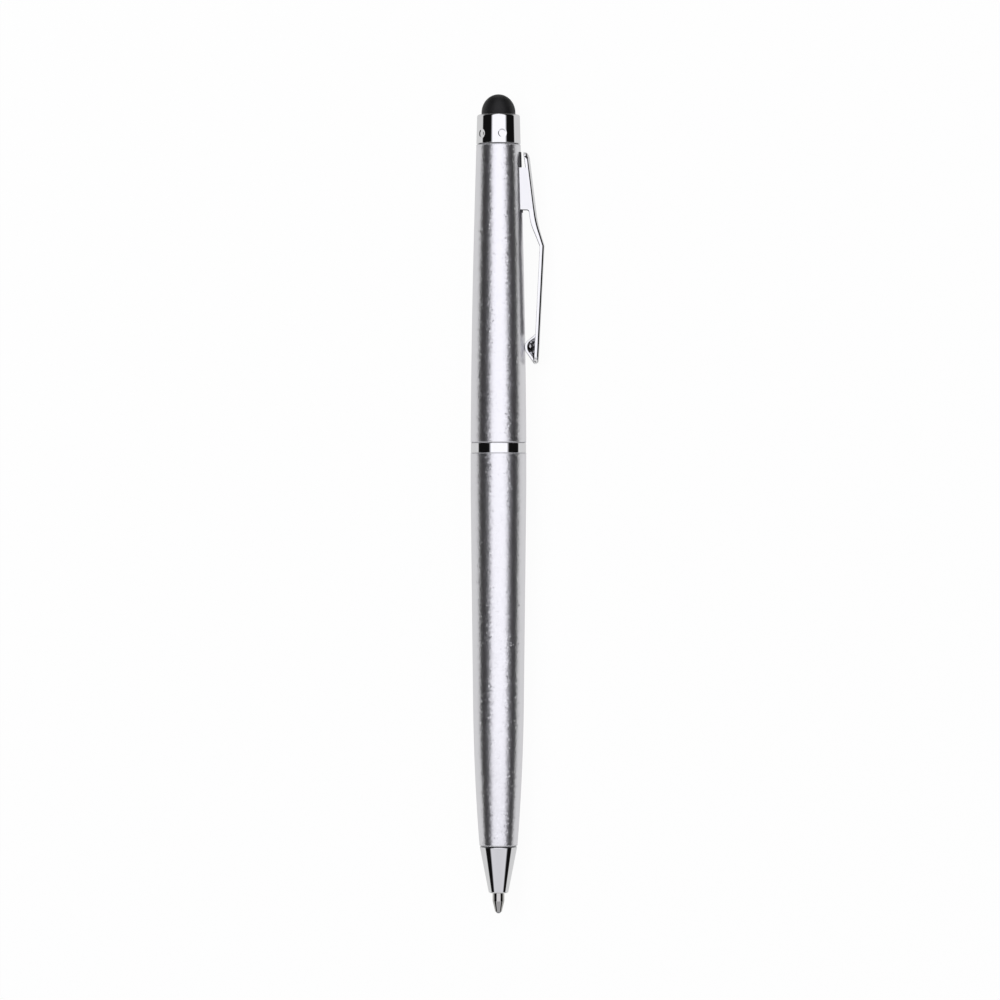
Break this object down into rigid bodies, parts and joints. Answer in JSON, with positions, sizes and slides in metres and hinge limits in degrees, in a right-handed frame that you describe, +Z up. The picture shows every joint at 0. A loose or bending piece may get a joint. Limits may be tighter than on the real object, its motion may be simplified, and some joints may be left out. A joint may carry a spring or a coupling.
{
  "type": "stylus pen",
  "caption": "Slim metal twist-action ballpoint pen with a soft domed stylus tip, tapered satin barrels, a bright pocket clip and a conical nose with the nib out.",
  "frame": {"origin": "point of the table straight under the pen's axis, in the middle plane of the centre ring", "axes": "+Y along the pen's axis from the nib to the stylus dome, +Z up from the table, +X to the side on which the pocket clip rests on the table"},
  "size_m": [0.0123, 0.1399, 0.0095],
  "materials": {
    "satin_barrel": "satin",
    "bright_chrome": "polished",
    "stylus_rubber": "matte",
    "seal_rubber": "matte",
    "moulded_dark": "matte",
    "turned_brass": "turned",
    "spring_steel": "drawn",
    "white_nylon": "moulded",
    "refill_plastic": "translucent",
    "ink": "gloss",
    "nickel_silver": "turned",
    "carbide": "polished"
  },
  "bodies": {
    "lower_half": {"lower_barrel": "satin_barrel", "barrel_bush": "turned_brass", "center_ring": "bright_chrome", "friction_ring": "seal_rubber", "nose_cone": "bright_chrome", "return_spring": "spring_steel", "guide_tube": "turned_brass", "retaining_ring": "spring_steel"},
    "upper_half": {"upper_barrel": "satin_barrel", "stylus_tip": "stylus_rubber", "stylus_collar": "bright_chrome", "stylus_core": "moulded_dark", "clip_anchor": "moulded_dark", "drive_sleeve": "white_nylon", "cam_sleeve": "turned_brass"},
    "refill": {"plunger": "white_nylon", "cam_pin": "spring_steel", "refill_tube": "refill_plastic", "refill_plug": "white_nylon", "ink_column": "ink", "refill_tip": "nickel_silver", "refill_ball": "carbide"},
    "clip": {"clip": "bright_chrome"}
  },
  "joints": [
    {"name": "twist", "type": "hinge", "parent": "lower_half", "child": "upper_half", "pos_m": [0, 0, 0.00475], "axis": [0, -1, 0], "range_deg": [0, 180]},
    {"name": "refill_slide", "type": "slide", "parent": "lower_half", "child": "refill", "axis": [0, 1, 0], "range_m": [0, 0.005], "deforming": ["return_spring"]},
    {"name": "clip_flex", "type": "hinge", "parent": "upper_half", "child": "clip", "pos_m": [0.00359, 0.0485, 0.00299], "axis": [0.4409, 0, 0.8976], "range_deg": [0, 3.5], "stiffness_Nm_per_rad": 1.6}
  ],
  "couplings": [
    {"joint": "refill_slide", "follows": "twist", "m_per_rad": 0.0015915}
  ]
}
